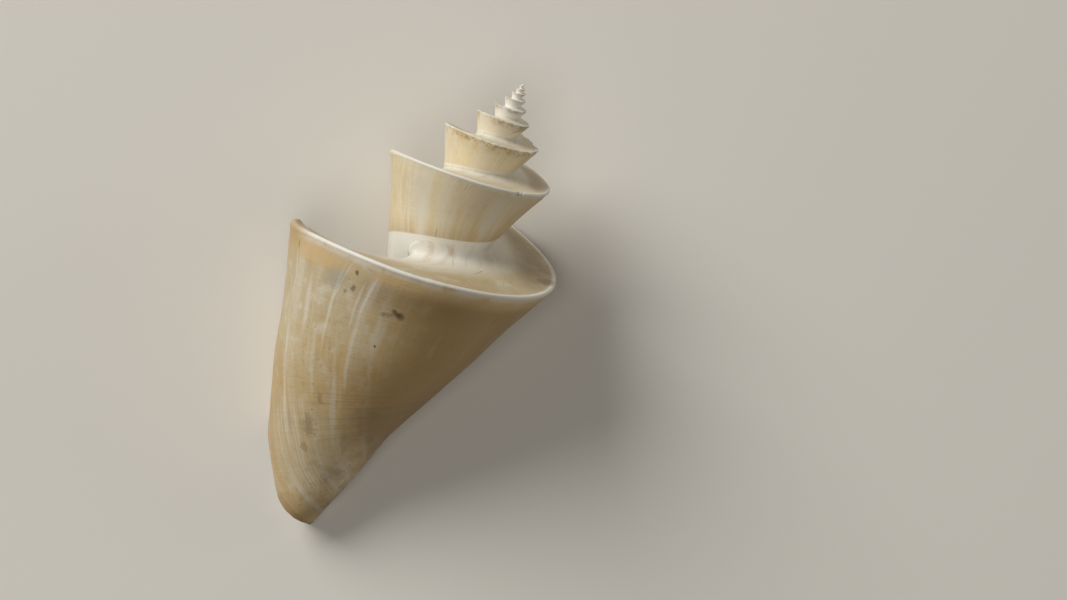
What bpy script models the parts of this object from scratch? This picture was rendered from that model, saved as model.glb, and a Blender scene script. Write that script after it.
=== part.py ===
"""A Japanese wonder shell, Thatcheria mirabilis, as one closed body lying on its aperture.

The shell is a wall wound round an upright axis. One profile, given below over the radius of the keel, is swept
along the growth spiral: from the suture out along the ramp to the keel, down the outer wall and onto the pillar.
The inside follows the same profile, one wall thickness in, and both meet along the lip. Whorl numbers count turns
of growth: 0 is the left side of the last whorl seen from its back, -1 the same side one turn earlier.
All sizes are in millimetres until the mesh is made.
"""

import bpy
import numpy as np

# Size of the keel whorl by whorl: its distance from the axis and its drop below the apex.
WHORL = [-8, -7, -6, -5, -4, -3, -2, -1.5, -1, -0.5, 0.03]
KEEL_RADIUS = [0.63, 0.95, 1.42, 2.19, 3.32, 5.86, 10.34, 13.09, 17.50, 21.71, 29.69]
KEEL_DROP = [0.73, 1.33, 2.34, 3.73, 5.73, 8.19, 13.14, 16.30, 22.23, 31.76, 44.78]
FIRST_WHORL = -8.7
LIP_WHORL = 0.03
KEEL_FLARE = 1.25        # the keel turns up by this much
FLARE_TURN = 0.12        # over the last part of a turn before the lip

# The outer wall, over the radius of the keel: depth below the keel, radius, and what the last half turn adds.
WALL_DEPTH = [0, 0.1, 0.25, 0.5, 0.85, 1.3, 1.75, 2.2, 2.6, 3.0, 4.0, 6.0]
WALL_RADIUS = [1, 0.968, 0.899, 0.784, 0.648, 0.463, 0.288, 0.200, 0.111, 0.073, 0.066, 0.057]
LATE_SWELL = [0, 0.008, 0.022, 0.047, 0.071, 0.063, 0.049, 0.038, 0.016, 0, 0, 0]
LATE_TURN = 0.6
PILLAR_DEPTH = 2.8       # the wall of a whorl reaches the pillar here

# The suture, where the next whorl starts: its depth on the wall of each whorl, over the radius of the keel.
SUTURE_WHORL = [-8, -4, -3, -2.5, -2, -1.5, -1.25, -1]
SUTURE_DEPTH = [0.60, 0.606, 0.611, 0.633, 0.722, 0.928, 0.875, 0.874]

# The ramp first creeps down the wall before, then folds outwards.
FOLD_SHARE = 0.8         # share of the ramp's drop spent before the fold
FOLD_POWER = 3.0
RAMP_DIP = 0.02          # hollow of the ramp over the radius of the keel

WALL_THICKNESS = 0.036   # over the radius of the keel
CAVITY_TURNS = 2.1       # the whorls before this are solid
TIP_BEND = 2.96          # the front end leans to the left by this much
BEND_START = 46.2        # from this drop on
TIP_DOME = 0.25

# How far, in turns, the lip and every growth line run ahead of the keel: along the ramp from suture to keel, from
# the keel to the next suture, and from there to the pillar.
RAMP_AHEAD = ([0, 0.1, 0.2, 0.35, 0.5, 0.6, 0.66, 0.72, 0.8, 0.9, 1],
              [-0.195, -0.204, -0.206, -0.199, -0.191, -0.187, -0.16, -0.095, -0.04, -0.01, 0])
WALL_AHEAD = ([0, 0.3, 0.6, 1], [0, 0.014, 0.024, 0.024])
BASE_AHEAD = ([0, 0.15, 0.27, 0.42, 0.56, 0.68, 0.8, 0.9, 0.96, 0.99, 1],
              [0.020, 0.002, -0.027, -0.055, -0.075, -0.095, -0.120, -0.157, -0.205, -0.280, -0.480])

# Columns of the mesh along the profile, as shares of its three stretches, and rows to a turn.
RAMP_SHARE = np.array([0, 0.2, 0.4, 0.55, 0.66, 0.78, 1])
WALL_SHARE = np.array([0.12, 0.4, 0.7, 1])
BASE_SHARE = np.array([0, 0.22, 0.45, 0.65, 0.8, 0.9, 0.96, 0.99, 1])
TURN_ROWS = 32
SKEW_ROWS = 7            # rows by which the suture end of a growth line lags behind its other end

# Lying on the aperture: turn about the axis, then lay the axis down, then shift onto the floor.
REST_SPIN_DEG = 0.147
REST_PITCH_DEG = -75.05


def curve(x, xs, ys):
    """A smooth curve through the points, straight beyond both ends."""
    xs, ys = np.asarray(xs, float), np.asarray(ys, float)
    step = np.diff(xs)
    rise = np.diff(ys) / step
    inner = (rise[:-1] * step[1:] + rise[1:] * step[:-1]) / (step[1:] + step[:-1])
    slope = np.concatenate([rise[:1], inner, rise[-1:]])
    i = np.clip(np.searchsorted(xs, x) - 1, 0, len(xs) - 2)
    t = (x - xs[i]) / step[i]
    s = np.clip(t, 0, 1)
    bend = s * (1 - s) * (slope[i] * (1 - s) - slope[i + 1] * s)
    ends = slope[i] * np.minimum(t, 0) + slope[i + 1] * np.maximum(t - 1, 0)
    return ys[i] * (1 + 2 * s) * (1 - s) ** 2 + ys[i + 1] * s * s * (3 - 2 * s) + step[i] * (bend + ends)


def keel(n):
    """Radius and drop of the keel at whorl n, shrinking to the apex in the first turn."""
    start = np.sqrt(np.clip((n - FIRST_WHORL) / 0.9, 0, 1))
    flare = np.clip((n - LIP_WHORL) / FLARE_TURN + 1, 0, 1)
    radius = start * np.exp(curve(n, WHORL, np.log(KEEL_RADIUS)))
    drop = start * np.exp(curve(n, WHORL, np.log(KEEL_DROP)))
    return radius, drop - KEEL_FLARE * flare**2


def wall(n, depth):
    """Radius and drop of the outer wall of whorl n at a depth below its keel."""
    radius, drop = keel(n)
    late = np.clip(n / LATE_TURN + 1, 0, 1)
    swell = late * late * (3 - 2 * late) * curve(depth, WALL_DEPTH, LATE_SWELL)
    return radius * (curve(depth, WALL_DEPTH, WALL_RADIUS) + swell), drop + radius * depth


def depth_at(n, drop):
    """Depth below the keel of whorl n, over its radius, of a drop below the apex."""
    radius, top = keel(n)
    return (drop - top) / np.maximum(radius, 1e-9)


def suture_depth(n):
    return curve(np.minimum(n, -1), SUTURE_WHORL, SUTURE_DEPTH)


def fold(n):
    """Radius and drop, on the wall before, of the fold of whorl n's ramp."""
    drop = wall(n - 1, suture_depth(n - 1))[1]
    drop = drop + FOLD_SHARE * (keel(n)[1] - drop)
    return wall(n - 1, depth_at(n - 1, drop))


def ramp(n, share):
    """Radius and drop of the ramp of whorl n, from the suture at share 0 to the keel at share 1."""
    radius, drop = keel(n)
    suture_radius, suture_drop = wall(n - 1, suture_depth(n - 1))
    fold_radius, fold_drop = fold(n)
    down, out = 1 - (1 - share) ** FOLD_POWER, share**FOLD_POWER
    dip = 4 * RAMP_DIP * radius * out * (1 - out)
    return (
        suture_radius + (fold_radius - suture_radius) * down + (radius - fold_radius) * out,
        suture_drop + (fold_drop - suture_drop) * down + (drop - fold_drop) * out + dip,
    )


def ramp_underside(n, share):
    """The same ramp seen from the cavity, one thickness lower, ending in the corner inside the keel."""
    radius, drop = keel(n)
    fold_radius, fold_drop = fold(n)
    out = share**FOLD_POWER
    dip = 4 * RAMP_DIP * radius * out * (1 - out)
    return (
        fold_radius + (radius - 1.3 * thickness(n) - fold_radius) * out,
        fold_drop + (drop - fold_drop) * out + dip + thickness(n),
    )


def thickness(n):
    return WALL_THICKNESS * keel(n)[0]


def cavity_depth(n):
    """Depth on the wall of whorl n at which the cavity of the next whorl starts, under its ramp."""
    n = np.minimum(n, -1)
    return depth_at(n, fold(n + 1)[1] + thickness(n + 1))


def pillar_end(n):
    """Drop at which the wall of whorl n ends on the pillar; past the lip this is the tip of the pillar."""
    n = np.minimum(n, LIP_WHORL + BASE_AHEAD[1][-1])
    return keel(n)[1] + PILLAR_DEPTH * keel(n)[0]


def place(n, radius, drop):
    """Points of the upright shell; it grows clockwise seen from the apex."""
    angle = np.pi * (1 - 2 * n)
    lean = TIP_BEND * np.clip((drop - BEND_START) / (pillar_end(1) - BEND_START), 0, None) ** 2
    return np.stack([radius * np.cos(angle) - lean, radius * np.sin(angle), -drop], -1)


def surfaces():
    """Whorl numbers, outer points and inner points, row by row along the spiral."""
    ramps, walls = len(RAMP_SHARE), len(RAMP_SHARE) + len(WALL_SHARE)
    ahead = np.concatenate(
        [curve(RAMP_SHARE, *RAMP_AHEAD), curve(WALL_SHARE, *WALL_AHEAD), curve(BASE_SHARE, *BASE_AHEAD)]
    )
    ahead[walls - 1] = ahead[0] + SKEW_ROWS / TURN_ROWS
    rows = int(np.ceil((LIP_WHORL - FIRST_WHORL + 0.03) * TURN_ROWS))
    n = LIP_WHORL - (rows - np.arange(rows + 1))[:, None] / TURN_ROWS + ahead
    on_ramp, on_wall, on_base = n[:, :ramps], n[:, ramps:walls], n[:, walls:]
    wall_depths = WALL_SHARE * suture_depth(on_wall)
    start, end = cavity_depth(on_base), depth_at(on_base, pillar_end(on_base + 1))
    outer = [ramp(on_ramp, RAMP_SHARE), wall(on_wall, wall_depths), wall(on_base, start + (end - start) * BASE_SHARE)]

    radius, drop = wall(on_wall, wall_depths)
    end = np.minimum(PILLAR_DEPTH, depth_at(on_base, pillar_end(1)))
    base_radius, base_drop = wall(on_base, start + (end - start) * BASE_SHARE)
    pillar = wall(on_base - 1, depth_at(on_base - 1, base_drop))[0]
    base_inside = base_radius - np.minimum(thickness(on_base), 0.5 * (base_radius - pillar))
    inner = [ramp_underside(on_ramp, RAMP_SHARE), (radius - thickness(on_wall), drop), (base_inside, base_drop)]
    return n, *(place(n, *(np.concatenate(v, 1) for v in zip(*side))) for side in (outer, inner))


def shell_mesh():
    """Points and faces of the closed shell.

    Each surface is a grid of rows along the spiral and columns along the profile. The start of a row on the wall
    before is the same point as the end of an earlier row there, so every whorl is joined to the last by shared
    points and nothing overlaps.
    """
    n, outer_points, inner_points = surfaces()
    rows, last = n.shape[0] - 1, n.shape[1] - 1
    suture = len(RAMP_SHARE) + len(WALL_SHARE) - 1
    back = TURN_ROWS + SKEW_ROWS
    start = rows - round(CAVITY_TURNS * TURN_ROWS)

    used = n > FIRST_WHORL + 0.3 / TURN_ROWS
    used[:, 0] = False
    used[:, suture + 1 :] = False
    used[start - TURN_ROWS :, suture + 1 :] = True
    used[start - back :, suture + 1] = True
    outer = np.zeros(n.shape, int)
    outer[used] = 1 + np.arange(used.sum())
    for row in range(back, rows + 1):
        outer[row, 0] = outer[row - back, suture]
    hollow = np.zeros(n.shape, bool)
    hollow[start:, 1:last] = True
    inner = np.zeros(n.shape, int)
    inner[hollow] = 1 + used.sum() + np.arange(hollow.sum())
    inner[start:, 0] = outer[start - back : rows + 1 - back, suture + 1]
    inner[start:, last] = outer[start - TURN_ROWS : rows + 1 - TURN_ROWS, last]
    tip = place(0.0, 0.0, pillar_end(1) + TIP_DOME)
    points = np.concatenate([np.zeros((1, 3)), outer_points[used], inner_points[hollow], tip[None]])
    tip = len(points) - 1

    quads = [
        strip(outer[:, : suture + 1]),
        strip(outer[rows - back :, suture : suture + 2]),
        strip(outer[start - TURN_ROWS :, suture + 1 :]),
        strip(inner[start:])[:, ::-1],
        strip(np.stack([outer[rows], inner[rows]])),
    ]
    ring = outer[rows - TURN_ROWS :, last]
    triangles = [(tip, a, b) for a, b in zip(ring, np.roll(ring, -1))]
    triangles += cavity_end(n, outer, inner, start, suture, back)
    faces = [clean(face) for face in [*np.concatenate(quads), *triangles]]
    return points, [face for face in faces if len(face) > 2]


def strip(grid):
    """The quads between neighbouring rows and columns of a grid of point numbers."""
    return np.stack([grid[:-1, :-1], grid[1:, :-1], grid[1:, 1:], grid[:-1, 1:]], -1).reshape(-1, 4)


def cavity_end(n, outer, inner, start, suture, back):
    """Triangles that close the cavity at its oldest row, from its outside to the wall before."""
    far = list(inner[start])
    near = [*outer[start - back : start - TURN_ROWS + 1, suture + 1], *outer[start - TURN_ROWS, suture + 2 :]]
    whorls = np.maximum.accumulate(n[start, : suture + 2]) + 1e-9 * np.arange(suture + 2)
    meeting = 1 + n[start - back : start - TURN_ROWS + 1, suture + 1]
    marks = [*np.interp(meeting, whorls, np.arange(suture + 2)), *range(suture + 2, n.shape[1])]
    triangles, a, b = [], 0, 0
    while a < len(far) - 1 or b < len(near) - 1:
        if b == len(near) - 1 or (a < len(far) - 1 and a + 1 <= marks[b + 1]):
            triangles.append((near[b], far[a + 1], far[a]))
            a += 1
        else:
            triangles.append((near[b], near[b + 1], far[a]))
            b += 1
    return triangles


def clean(face):
    """A face without repeated points."""
    return [int(p) for i, p in enumerate(face) if p != face[i - 1]]


def lay_down(points):
    """Turns the upright shell onto its aperture, centred over the origin and standing on the floor."""
    spin, pitch = np.radians([REST_SPIN_DEG, REST_PITCH_DEG])
    about_axis = np.array([[np.cos(spin), -np.sin(spin), 0], [np.sin(spin), np.cos(spin), 0], [0, 0, 1]])
    about_side = np.array([[1, 0, 0], [0, np.cos(pitch), -np.sin(pitch)], [0, np.sin(pitch), np.cos(pitch)]])
    points = points @ (about_side @ about_axis).T
    low, high = points.min(0), points.max(0)
    return points - [(low[0] + high[0]) / 2, (low[1] + high[1]) / 2, low[2]]


def aragonite():
    material = bpy.data.materials.new("shell aragonite")
    material.use_nodes = True
    surface = material.node_tree.nodes["Principled BSDF"]
    surface.inputs["Base Color"].default_value = (0.52, 0.40, 0.25, 1)
    surface.inputs["Roughness"].default_value = 0.4
    surface.inputs["IOR"].default_value = 1.6
    return material


def main():
    for thing in list(bpy.data.objects):
        bpy.data.objects.remove(thing)
    points, faces = shell_mesh()
    mesh = bpy.data.meshes.new("shell")
    mesh.from_pydata((lay_down(points) / 1000).tolist(), [], faces)
    mesh.materials.append(aragonite())
    mesh.polygons.foreach_set("use_smooth", [True] * len(mesh.polygons))
    mesh.update()
    bpy.context.scene.collection.objects.link(bpy.data.objects.new("shell", mesh))


main()
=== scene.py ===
"""The looks of a Japanese wonder shell, Thatcheria mirabilis, lying on its aperture.

The shell is one surface, worked out with numpy as a function of two parameters: the time of growth, counted
in whorls, and the place on the profile, from the suture out along the ramp to the keel, down the wall and
onto the pillar. Time 0 is the left side of the last whorl seen from its back, and -1 the same side one turn
earlier. Lengths are in millimetres until the mesh is made.
"""

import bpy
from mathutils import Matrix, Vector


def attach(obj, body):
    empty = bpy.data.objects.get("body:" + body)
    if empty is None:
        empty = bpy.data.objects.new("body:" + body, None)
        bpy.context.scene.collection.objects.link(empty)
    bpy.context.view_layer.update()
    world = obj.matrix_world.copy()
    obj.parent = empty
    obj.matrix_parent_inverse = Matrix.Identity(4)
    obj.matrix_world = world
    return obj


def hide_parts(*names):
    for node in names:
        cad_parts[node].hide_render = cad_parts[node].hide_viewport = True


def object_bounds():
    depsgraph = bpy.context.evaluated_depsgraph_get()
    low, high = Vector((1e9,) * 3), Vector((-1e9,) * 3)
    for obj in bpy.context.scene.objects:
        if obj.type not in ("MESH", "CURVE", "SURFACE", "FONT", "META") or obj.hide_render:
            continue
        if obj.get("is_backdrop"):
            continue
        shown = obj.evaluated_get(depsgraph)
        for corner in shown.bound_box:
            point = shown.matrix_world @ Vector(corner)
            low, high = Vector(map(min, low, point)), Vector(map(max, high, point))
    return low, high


bl_info = {
    "name": "Wonder Shell",
    "version": (1, 0, 0),
    "blender": (4, 5, 0),
    "location": "3D View > Sidebar > Wonder Shell",
    "description": "Grows the fine surface and markings of a Japanese wonder shell",
    "category": "Add Mesh",
}

import bpy
import numpy as np
from mathutils import Matrix, Vector

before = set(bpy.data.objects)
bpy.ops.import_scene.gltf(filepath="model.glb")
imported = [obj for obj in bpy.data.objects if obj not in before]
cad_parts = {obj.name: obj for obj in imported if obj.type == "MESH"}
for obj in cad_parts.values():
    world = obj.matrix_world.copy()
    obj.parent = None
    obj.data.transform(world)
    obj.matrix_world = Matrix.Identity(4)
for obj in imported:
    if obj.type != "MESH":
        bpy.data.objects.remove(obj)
SOLID_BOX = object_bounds()

# The keel whorl by whorl: its distance from the axis and its drop below the apex.
WHORL = [-8, -7, -6, -5, -4, -3, -2, -1.5, -1, -0.5, 0.03]
KEEL_RADIUS = [0.63, 0.95, 1.42, 2.19, 3.32, 5.86, 10.34, 13.09, 17.50, 21.71, 29.69]
KEEL_DROP = [0.73, 1.33, 2.34, 3.73, 5.73, 8.19, 13.14, 16.30, 22.23, 31.76, 44.78]
FIRST_WHORL = -8.7
LIP_WHORL = 0.03
APEX_TURNS = 0.9         # the first part of a turn, over which the shell opens from a point
KEEL_FLARE = 1.25        # the keel turns up by this much
FLARE_TURN = 0.12        # over the last part of a turn before the lip
NEAR_KEEL = 0.03         # share of ramp and wall that gives their direction at the keel

# A lift of the keel alone on the last whorl, in mm by whorl.
LIFT = ([-0.55, -0.43, -0.30, -0.22, -0.16, -0.10, -0.06, 0.0, 0.03],
        [0, -0.35, -0.40, -0.35, 0.05, 0.40, 0.50, 0.40, 0.15])
LIFT_START = 0.65        # the share of the keel's radius from which the surface is lifted with it

# The cord on the keel: how much thicker it is at the lip, and at the blunt corner one turn before.
LIP_CORD = 2.0
LIP_CORD_TURN = 0.14
BLUNT_WHORL = -0.99
BLUNT_SWELLING = 0.8
BLUNT_REACH = (0.10, 0.02)   # turns from the corner at which the swelling starts and is full

# The outer wall over the radius of the keel: depth below the keel, radius, and what is added at the end.
WALL_DEPTH = [0, 0.1, 0.25, 0.5, 0.85, 1.3, 1.75, 2.2, 2.6, 3.0, 4.0, 6.0]
WALL_RADIUS = [1, 0.968, 0.899, 0.784, 0.648, 0.463, 0.288, 0.200, 0.111, 0.073, 0.066, 0.057]
LATE_SWELL = [0, 0.008, 0.022, 0.047, 0.071, 0.063, 0.049, 0.038, 0.016, 0, 0, 0]
LATE_TURN = 0.6          # the last part of a turn, over which it is added
PILLAR_DEPTH = 2.8

# The suture, where the next whorl starts: its depth on the wall of each whorl, over the radius of the keel.
SUTURE_WHORL = [-8, -4, -3, -2.5, -2, -1.5, -1.25, -1]
SUTURE_DEPTH = [0.60, 0.606, 0.611, 0.633, 0.722, 0.928, 0.875, 0.874]
FOLD_SHARE = 0.8         # share of the ramp's drop spent before its fold
FOLD_POWER = 3.0
RAMP_DIP = 0.02
CORNER_INSET = 1.3       # thicknesses by which the corner inside the keel stands in from it
CORNER_POWER = 6         # how suddenly the inside of the wall bends towards that corner

CAVITY_TURNS = 2.1
TIP_BEND = 2.96          # sideways lean of the pillar's tip
BEND_START = 46.2        # drop at which the lean starts
TIP_DOME = 0.25
THIN_TURN = 0.03         # the lip thins over this part of a turn
THIN_SHARE = 0.4         # by this share of the wall
GLAZE_TURN = 0.025       # the glaze inside the aperture runs out this far past the lip
PILLAR_GLAZE_TURN = 0.3  # and this much further on the pillar
GLAZE_FADE_TURN = 0.01
EDGE_STEP = 0.015        # how far the edge of the ramp stands out from the wall before, at the lip

# How far, in turns, the lip and the rows of the mesh run ahead of the keel: on the ramp, wall and base.
RAMP_AHEAD = ([0, 0.1, 0.2, 0.35, 0.5, 0.6, 0.66, 0.72, 0.8, 0.9, 1],
              [-0.195, -0.204, -0.206, -0.199, -0.191, -0.187, -0.16, -0.095, -0.04, -0.01, 0])
WALL_AHEAD = ([0, 0.3, 0.6, 1], [0, 0.014, 0.024, 0.024])
BASE_AHEAD = ([0, 0.15, 0.27, 0.42, 0.56, 0.68, 0.8, 0.9, 0.95, 0.98, 1],
              [0.020, 0.002, -0.027, -0.055, -0.075, -0.095, -0.120, -0.162, -0.212, -0.290, -0.480])

# Growth lines on the surface: how far, in turns, they run ahead of the keel, by depth over its radius.
LINE_DEPTH = [0, 0.2, 0.4, 0.65, 0.87, 1.1, 1.28, 1.4, 1.48, 1.55, 1.6, 1.65, 1.7, 1.8, 2.0]
LINE_LEAD = [0, 0.006, 0.010, 0.008, -0.002, -0.018, -0.040, -0.060, -0.078, -0.109, -0.148, -0.205, -0.29,
             -0.55, -1.3]
SEARCH_TURNS = (0.05, 1.0)   # a point was laid down at most this long before and after its whorl number
HALVINGS = 24

# The mesh: rows to a turn, rows from the ramp's start to the wall's end at the suture, and columns.
TURN_ROWS = 256
SKEW_ROWS = 56
SPARE_TURN = 0.03        # rows before the apex
BLOCK_ROWS = 8           # rows are merged in whole blocks
RAMP_STEPS = 20
RAMP_LENGTHS = (0.3, 0.7)    # shares of the ramp's length on its creep and on its reach
WALL_STEPS = 14
BASE_STEPS = 30
BASE_SHARES = [0, 0.20, 0.39, 0.56, 0.70, 0.81, 0.90, 0.96, 1]
CORD_ROOM = 2.3          # radii of the cord that the columns next to it stay away from the keel
CORD_ANGLES = np.radians([-90, -60, -30, 0, 30, 60, 90])
CORNER_SHARES = np.linspace(0, 1, len(CORD_ANGLES))
LIP_STEPS = 6
COARSE_ROWS = [(-3.3, 2), (-4.5, 4), (-5.5, 8)]   # before each whorl, every so many rows are one
SEEN_TURNS = 0.7         # inside the cavity, further than this behind the lip, every two rows are one
TINY = 1e-9              # keeps divisions from failing where a length is nothing

# The resting pose of the stated solid: a turn about the axis, a turn onto the aperture, and the apex in mm.
REST_SPIN_DEG = 0.147
REST_PITCH_DEG = -75.05
APEX_PLACE = (3.742, 46.519, 25.725)

# The camera: the apex and the shell's roll and tilt in a picture 1067 pixels wide.
PICTURE = (1067, 600)
LENS_MM = 100.0
SENSOR_MM = 36.0
PIXEL_MM = 0.1923        # size of a pixel at the middle of the shell
APEX_PIXEL = (523.85, 83.85)
ROLL_DEG = 25.388
TILT_DEG = 9.058
MIDDLE_PIXELS = 245.0    # from the apex to the middle of the shell
CLIP_METRES = (0.05, 20)
FLOOR_METRES = 8
FLOOR_ROUGHNESS = 0.8
LIGHT_METRES = 1.8       # distance of the lights
# Each light's direction, as right, down and forward in the picture, and its width in metres.
LIGHTS = {
    "key": ((-0.58, -0.64, -0.50), 1.2),
    "rim": ((0.96, -0.20, -0.18), 0.8),
    "front": ((-0.1, 0.2, -0.97), 1.0),
}


def linear(code):
    """The linear colour of an sRGB hex code: a straight part near black, and a power of 2.4 above it."""
    srgb = np.array([int(code[i : i + 2], 16) for i in (0, 2, 4)]) / 255
    return tuple(np.where(srgb <= 0.04045, srgb / 12.92, ((srgb + 0.055) / 1.055) ** 2.4))


def colour(name, code, words):
    """A colour property with its default given as a hex code."""
    return bpy.props.FloatVectorProperty(
        name=name, description=words, default=linear(code), subtype="COLOR", size=3, min=0, max=1
    )


class ShellSizes(bpy.types.PropertyGroup):
    """Sizes of the shell's wall, keel and relief."""

    wall_thickness: bpy.props.FloatProperty(
        name="Wall thickness", description="Thickness of the wall at the end of the last whorl",
        default=0.00107, min=0.0003, max=0.002, unit="LENGTH", precision=5,
    )
    cord_radius: bpy.props.FloatProperty(
        name="Keel cord", description="Radius of the white cord on the keel at the lip",
        default=0.0005, min=0.0001, max=0.001, unit="LENGTH", precision=5,
    )
    early_cord: bpy.props.FloatProperty(
        name="Early keel cord", description="Largest radius of the cord, over the radius of the keel",
        default=0.05, min=0.01, max=0.1, subtype="FACTOR",
    )
    ridge_height: bpy.props.FloatProperty(
        name="Growth ridges", description="Height of the growth ridges at the lip",
        default=0.00009, min=0, max=0.0004, unit="LENGTH", precision=5,
    )


class ShellColours(bpy.types.PropertyGroup):
    """Colours of the shell's layers and marks."""

    cream: colour("Cream", "EBDBB5", "The ground of the earlier whorls")
    beige: colour("Beige", "CAB994", "The ground of the last whorl")
    # Tan and brown also paint warm shade: on the shaded right of the last whorl and at the right ends of the
    # ramps.
    tan: colour("Tan", "BD9A5E", "The darker clouds and growth lines")
    orange: colour("Orange tan", "D6B37A", "The band under the keel and the warm growth lines")
    chalk: colour("Chalk", "E6E1D1", "The whitish growth lines and the suture band")
    porcelain: colour("Porcelain", "F1EDE1", "The keel cord, the callus and the inside")
    brown: colour("Brown", "75552C", "Stains, the tip and the darkest growth lines")
    soot: colour("Dark spots", "3B3222", "The small dark spots")
    grey: colour("Blue grey", "9C9B92", "The bluish patch under the keel")


class StageSettings(bpy.types.PropertyGroup):
    """The floor and the lights."""

    floor: colour("Floor", "E8E3D8", "Colour of the floor")
    key_watts: bpy.props.FloatProperty(
        name="Key light", description="Power of the key light",
        default=27, min=0, unit="POWER",
    )
    rim_watts: bpy.props.FloatProperty(
        name="Rim light", description="Power of the low light from the right",
        default=3.0, min=0, unit="POWER",
    )
    front_watts: bpy.props.FloatProperty(
        name="Front light", description="Power of the light beside the camera",
        default=6.5, min=0, unit="POWER",
    )
    sky: bpy.props.FloatProperty(
        name="Sky", description="Strength of the even light from all around",
        default=0.05, min=0, max=2,
    )
    sky_colour: colour("Sky colour", "F3E6D2", "Colour of the even light")


def curve(x, xs, ys):
    """A smooth curve through points: cubics between neighbours, parabola slopes at them, straight outside."""
    xs, ys = np.asarray(xs, float), np.asarray(ys, float)
    step = np.diff(xs)
    rise = np.diff(ys) / step
    inner = (rise[:-1] * step[1:] + rise[1:] * step[:-1]) / (step[1:] + step[:-1])
    slope = np.concatenate([rise[:1], inner, rise[-1:]])
    i = np.clip(np.searchsorted(xs, x) - 1, 0, len(xs) - 2)
    t = (x - xs[i]) / step[i]
    s = np.clip(t, 0, 1)
    bend = s * (1 - s) * (slope[i] * (1 - s) - slope[i + 1] * s)
    ends = slope[i] * np.minimum(t, 0) + slope[i + 1] * np.maximum(t - 1, 0)
    return ys[i] * (1 + 2 * s) * (1 - s) ** 2 + ys[i + 1] * s * s * (3 - 2 * s) + step[i] * (bend + ends)


def smooth(x, low=0.0, high=1.0):
    """0 below low, 1 above high and a smooth step between."""
    s = np.clip((x - low) / (high - low), 0, 1)
    return s * s * (3 - 2 * s)


def noise(x, y, seed):
    """Smooth noise from 0 to 1: seeded random values on whole numbers of x and y, blended by smooth steps."""
    size = 128
    table = np.random.default_rng(seed).random((size, size))
    i, j = np.floor(x).astype(int), np.floor(y).astype(int)
    u, v = smooth(x - i), smooth(y - j)
    near, far = (
        table[i % size, (j + k) % size] * (1 - u) + table[(i + 1) % size, (j + k) % size] * u for k in (0, 1)
    )
    return near * (1 - v) + far * v


def keel(n):
    """Radius and drop of the keel at whorl n: growth curves, times a root of the turns since the apex."""
    start = np.sqrt(np.clip((n - FIRST_WHORL) / APEX_TURNS, 0, 1))
    flare = np.clip((n - LIP_WHORL) / FLARE_TURN + 1, 0, 1)
    radius = start * np.exp(curve(n, WHORL, np.log(KEEL_RADIUS)))
    drop = start * np.exp(curve(n, WHORL, np.log(KEEL_DROP)))
    return radius, drop - KEEL_FLARE * flare**2


def wall(n, depth):
    """Radius and drop of the outer wall of whorl n, at a depth below its keel over the keel's radius."""
    radius, drop = keel(n)
    late = smooth(n, -LATE_TURN, 0)
    share = curve(depth, WALL_DEPTH, WALL_RADIUS) + late * curve(depth, WALL_DEPTH, LATE_SWELL)
    return radius * share, drop + radius * depth


def depth_at(n, drop):
    """Depth below the keel of whorl n, over its radius, of a drop below the apex."""
    radius, top = keel(n)
    return (drop - top) / np.maximum(radius, TINY)


def suture_depth(n):
    """Depth of the suture on whorl n, over the keel's radius."""
    return curve(np.minimum(n, -1), SUTURE_WHORL, SUTURE_DEPTH)


def fold(n):
    """Radius and drop, on the wall before, of the fold of whorl n's ramp."""
    drop = wall(n - 1, suture_depth(n - 1))[1]
    drop = drop + FOLD_SHARE * (keel(n)[1] - drop)
    return wall(n - 1, depth_at(n - 1, drop))


def ramp(n, share):
    """Radius and drop of the ramp of whorl n, from the suture at share 0 to the keel at share 1: it creeps
    down the wall before as one less a power of what is left, and leaves it as a power of the share."""
    radius, drop = keel(n)
    suture_radius, suture_drop = wall(n - 1, suture_depth(n - 1))
    fold_radius, fold_drop = fold(n)
    down, out = 1 - (1 - share) ** FOLD_POWER, share**FOLD_POWER
    dip = 4 * RAMP_DIP * radius * out * (1 - out)
    return (
        suture_radius + (fold_radius - suture_radius) * down + (radius - fold_radius) * out,
        suture_drop + (fold_drop - suture_drop) * down + (drop - fold_drop) * out + dip,
    )


def ramp_underside(n, share, thick):
    """The same ramp seen from the cavity, one thickness lower, ending in the corner inside the keel."""
    radius, drop = keel(n)
    fold_radius, fold_drop = fold(n)
    out = share**FOLD_POWER
    dip = 4 * RAMP_DIP * radius * out * (1 - out)
    return (
        fold_radius + (radius - CORNER_INSET * thick - fold_radius) * out,
        fold_drop + (drop - fold_drop) * out + dip + thick,
    )


def wall_inside(n, share, thick):
    """The wall seen from the cavity, one thickness in; its top bends under the keel by one thickness."""
    under = thick / np.maximum(keel(n)[0], TINY) * (1 - share) ** CORNER_POWER
    inside, drop = wall(n, share * suture_depth(n) + under)
    return inside - thick, drop


def cord_radius(n, sizes):
    """Radius of the cord on the keel: it grows as the root of the keel's radius, at first as the radius
    itself, and into a rounded rim at the lip and one turn before."""
    radius = keel(n)[0]
    rim = 1 + (LIP_CORD - 1) * smooth(n, LIP_WHORL - LIP_CORD_TURN, LIP_WHORL)
    rim = rim + BLUNT_SWELLING * smooth(np.abs(n - BLUNT_WHORL), *BLUNT_REACH)
    late = sizes.cord_radius * 1000 * np.sqrt(radius / KEEL_RADIUS[-1])
    return np.minimum(late, sizes.early_cord * radius) * rim


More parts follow.
